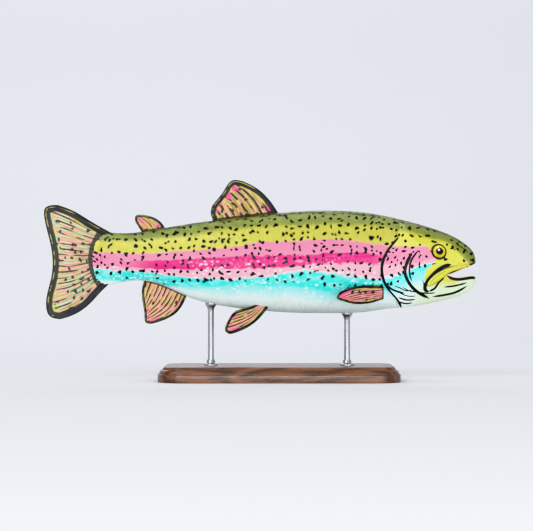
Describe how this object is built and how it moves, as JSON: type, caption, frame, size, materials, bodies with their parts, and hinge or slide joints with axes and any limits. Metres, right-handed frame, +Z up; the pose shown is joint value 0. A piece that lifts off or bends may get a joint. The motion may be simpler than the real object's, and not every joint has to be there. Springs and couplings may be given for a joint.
{
  "type": "rainbow trout display model",
  "caption": "Life-size rainbow trout with its mouth a little open, held level on rods above a flat wooden base.",
  "frame": {"origin": "middle of the underside of the stand's base, under the middle of the whole model", "axes": "+X towards the snout, +Y towards the fish's left side, +Z up"},
  "size_m": [0.4501, 0.112, 0.2092],
  "materials": {
    "skin": "wet, silvery scaled skin: olive back, pink side stripe, turquoise to white belly, black spots",
    "fins": "thin translucent fin webs over soft rays, olive and pink with dark spots",
    "eyes": "glossy golden eye with a black pupil",
    "mouth": "wet pink flesh",
    "base_wood": "satin lacquered dark walnut",
    "rod_steel": "brushed steel rod"
  },
  "bodies": {
    "root": {"head": "skin", "lower_jaw": "skin", "gill_cover_left": "skin", "gill_cover_right": "skin", "maxilla_left": "skin", "maxilla_right": "skin", "trunk": "skin", "tail_stalk": "skin", "dorsal_fin": "fins", "adipose_fin": "fins", "anal_fin": "fins", "tail_fin": "fins", "pelvic_fin_left": "fins", "pelvic_fin_right": "fins", "pectoral_fin_left": "fins", "pectoral_fin_right": "fins", "eye_left": "eyes", "eye_right": "eyes", "tongue": "mouth", "stand_base": "base_wood", "stand_rod_front": "rod_steel", "stand_rod_rear": "rod_steel"}
  },
  "joints": []
}
